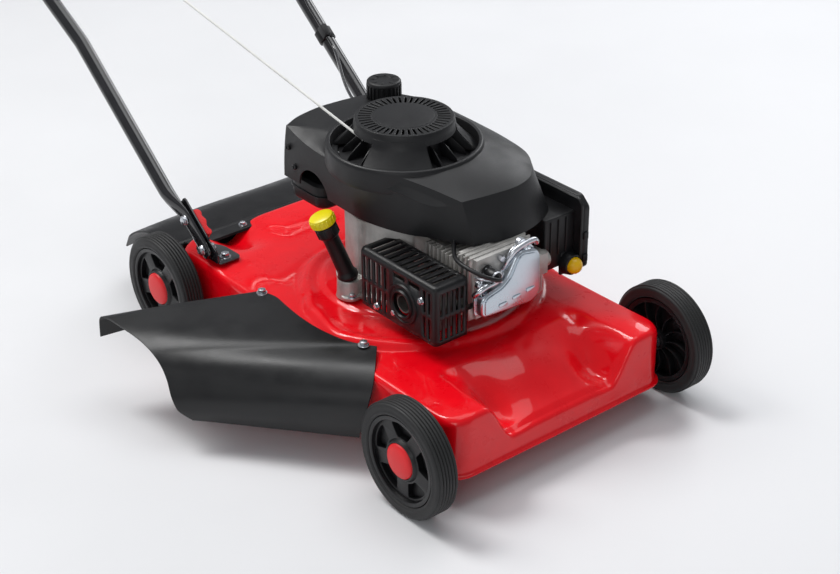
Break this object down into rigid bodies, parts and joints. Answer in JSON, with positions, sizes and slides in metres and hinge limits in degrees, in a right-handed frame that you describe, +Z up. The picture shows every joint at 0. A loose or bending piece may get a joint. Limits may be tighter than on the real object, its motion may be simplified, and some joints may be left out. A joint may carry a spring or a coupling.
{
  "type": "push lawn mower",
  "caption": "Walk-behind petrol rotary mower with stamped deck, side chute, small engine and folding tube handle.",
  "frame": {"origin": "on the ground under the middle of the bounding box", "axes": "-Y towards the front of the mower, +Y towards the operator, +Z up, -X towards the discharge chute"},
  "size_m": [0.705, 1.6639, 0.9823],
  "materials": {
    "deck_red": "gloss",
    "black_paint": "gloss",
    "black_plastic": "matte",
    "chute_plastic": "satin",
    "tyre": "matte",
    "red_plastic": "satin",
    "zinc_steel": "satin",
    "cast_aluminium": "cast",
    "yellow_plastic": "satin",
    "white_rope": "braided",
    "blade_steel": "satin",
    "cable_sheath": "satin",
    "muffler_steel": "heat-stained"
  },
  "bodies": {
    "chassis": {"deck": "deck_red", "discharge_chute": "chute_plastic", "deck_bolts": "zinc_steel", "handle_bracket_right": "black_paint", "handle_bracket_left": "black_paint", "pivot_bolts": "zinc_steel", "flap_rod": "zinc_steel", "axle_bolts": "zinc_steel", "crankcase": "cast_aluminium", "cylinder_head": "cast_aluminium", "valve_cover": "zinc_steel", "engine_bolts": "zinc_steel", "spark_plug": "zinc_steel", "plug_lead": "cable_sheath", "muffler": "muffler_steel", "muffler_guard": "black_plastic", "carburettor": "cast_aluminium", "governor_link": "zinc_steel", "air_filter_base": "black_plastic", "blower_housing": "black_plastic", "recoil_housing": "black_plastic", "fuel_tank": "black_plastic", "oil_filler_tube": "black_plastic", "starter_rope": "white_rope", "brake_cable": "cable_sheath"},
    "rotor": {"crankshaft": "zinc_steel", "flywheel": "cast_aluminium", "blade_adapter": "cast_aluminium", "cutting_blade": "blade_steel", "blade_bolt": "zinc_steel"},
    "starter_pulley": {"recoil_pulley": "black_plastic"},
    "flap": {"rear_flap": "black_plastic"},
    "filter_cover": {"air_filter_cover": "black_plastic"},
    "primer": {"primer_bulb": "yellow_plastic"},
    "filler_cap": {"fuel_cap": "black_plastic"},
    "oil_dipstick": {"dipstick": "yellow_plastic"},
    "lower_handle": {"lower_handle_right": "black_paint", "lower_handle_left": "black_paint", "rope_guide": "zinc_steel", "cable_clips": "black_plastic", "handle_bolts": "zinc_steel"},
    "lever_right": {"fold_lever_right": "red_plastic"},
    "lever_left": {"fold_lever_left": "red_plastic"},
    "starter_handle": {"starter_grip": "black_plastic"},
    "hand_bar": {"upper_handle": "black_paint"},
    "wing_knob_right": {"knob_right": "black_plastic"},
    "wing_knob_left": {"knob_left": "black_plastic"},
    "bail": {"bail_lever": "black_paint"},
    "front_right_wheel": {"front_right_rim": "black_plastic", "front_right_tyre": "tyre", "front_right_hub_cap": "red_plastic"},
    "front_left_wheel": {"front_left_rim": "black_plastic", "front_left_tyre": "tyre", "front_left_hub_cap": "red_plastic"},
    "rear_right_wheel": {"rear_right_rim": "black_plastic", "rear_right_tyre": "tyre", "rear_right_hub_cap": "red_plastic"},
    "rear_left_wheel": {"rear_left_rim": "black_plastic", "rear_left_tyre": "tyre", "rear_left_hub_cap": "red_plastic"}
  },
  "joints": [
    {"name": "front_right_wheel_spin", "type": "hinge", "parent": "chassis", "child": "front_right_wheel", "pos_m": [-0.181, -0.74288, 0.089], "axis": [1, 0, 0], "continuous": true},
    {"name": "front_left_wheel_spin", "type": "hinge", "parent": "chassis", "child": "front_left_wheel", "pos_m": [0.331, -0.74288, 0.089], "axis": [1, 0, 0], "continuous": true},
    {"name": "rear_right_wheel_spin", "type": "hinge", "parent": "chassis", "child": "rear_right_wheel", "pos_m": [-0.181, -0.10688, 0.089], "axis": [1, 0, 0], "continuous": true},
    {"name": "rear_left_wheel_spin", "type": "hinge", "parent": "chassis", "child": "rear_left_wheel", "pos_m": [0.331, -0.10688, 0.089], "axis": [1, 0, 0], "continuous": true},
    {"name": "blade_spin", "type": "hinge", "parent": "chassis", "child": "rotor", "pos_m": [0.075, -0.42488, 0.2], "axis": [0, 0, 1], "continuous": true},
    {"name": "flap_swing", "type": "hinge", "parent": "chassis", "child": "flap", "pos_m": [0.075, -0.07488, 0.132], "axis": [1, 0, 0], "range_deg": [0, 50]},
    {"name": "filter_cover_tilt", "type": "hinge", "parent": "chassis", "child": "filter_cover", "pos_m": [0.268, -0.56688, 0.192], "axis": [0, 1, 0], "range_deg": [0, 50]},
    {"name": "primer_press", "type": "slide", "parent": "chassis", "child": "primer", "axis": [0, 1, 0], "range_m": [0, 0.006], "stiffness_N_per_m": 600, "springref_m": -0.001},
    {"name": "fuel_cap_twist", "type": "hinge", "parent": "chassis", "child": "filler_cap", "pos_m": [0.163, -0.26488, 0.39], "axis": [0, 0, 1], "range_deg": [0, 120]},
    {"name": "dipstick_pull", "type": "slide", "parent": "chassis", "child": "oil_dipstick", "axis": [-0.3057, 0.1798, 0.935], "range_m": [0, 0.08]},
    {"name": "handle_fold", "type": "hinge", "parent": "chassis", "child": "lower_handle", "pos_m": [0.075, -0.16888, 0.168], "axis": [1, 0, 0], "range_deg": [0, 120], "deforming": ["brake_cable", "starter_rope"]},
    {"name": "lever_right_open", "type": "hinge", "parent": "lower_handle", "child": "lever_right", "pos_m": [-0.115, -0.12399, 0.20409], "axis": [0, -0.6266, 0.7793], "range_deg": [0, 95]},
    {"name": "lever_left_open", "type": "hinge", "parent": "lower_handle", "child": "lever_left", "pos_m": [0.265, -0.12399, 0.20409], "axis": [0, -0.6266, 0.7793], "range_deg": [-95, 0]},
    {"name": "hand_bar_fold", "type": "hinge", "parent": "lower_handle", "child": "hand_bar", "pos_m": [0.075, 0.47018, 0.68181], "axis": [1, 0, 0], "range_deg": [-130, 0], "deforming": ["brake_cable"]},
    {"name": "knob_right_turn", "type": "hinge", "parent": "lower_handle", "child": "wing_knob_right", "pos_m": [-0.175, 0.47018, 0.68181], "axis": [1, 0, 0], "continuous": true},
    {"name": "knob_left_turn", "type": "hinge", "parent": "lower_handle", "child": "wing_knob_left", "pos_m": [0.325, 0.47018, 0.68181], "axis": [1, 0, 0], "continuous": true},
    {"name": "starter_pull", "type": "slide", "parent": "lower_handle", "child": "starter_handle", "axis": [0, 0.6428, 0.766], "range_m": [0, 0.5]},
    {"name": "starter_pulley_turn", "type": "hinge", "parent": "chassis", "child": "starter_pulley", "pos_m": [0.075, -0.42488, 0.399], "axis": [0, 0, 1], "range_deg": [-510, 0]},
    {"name": "bail_squeeze", "type": "hinge", "parent": "hand_bar", "child": "bail", "pos_m": [0.075, 0.70398, 0.8698], "axis": [1, 0, 0], "range_deg": [-20, 0], "stiffness_Nm_per_rad": 2.5, "springref_deg": 11.46}
  ],
  "couplings": [
    {"joint": "starter_pulley_turn", "follows": "starter_pull", "rad_per_m": -17.5}
  ]
}
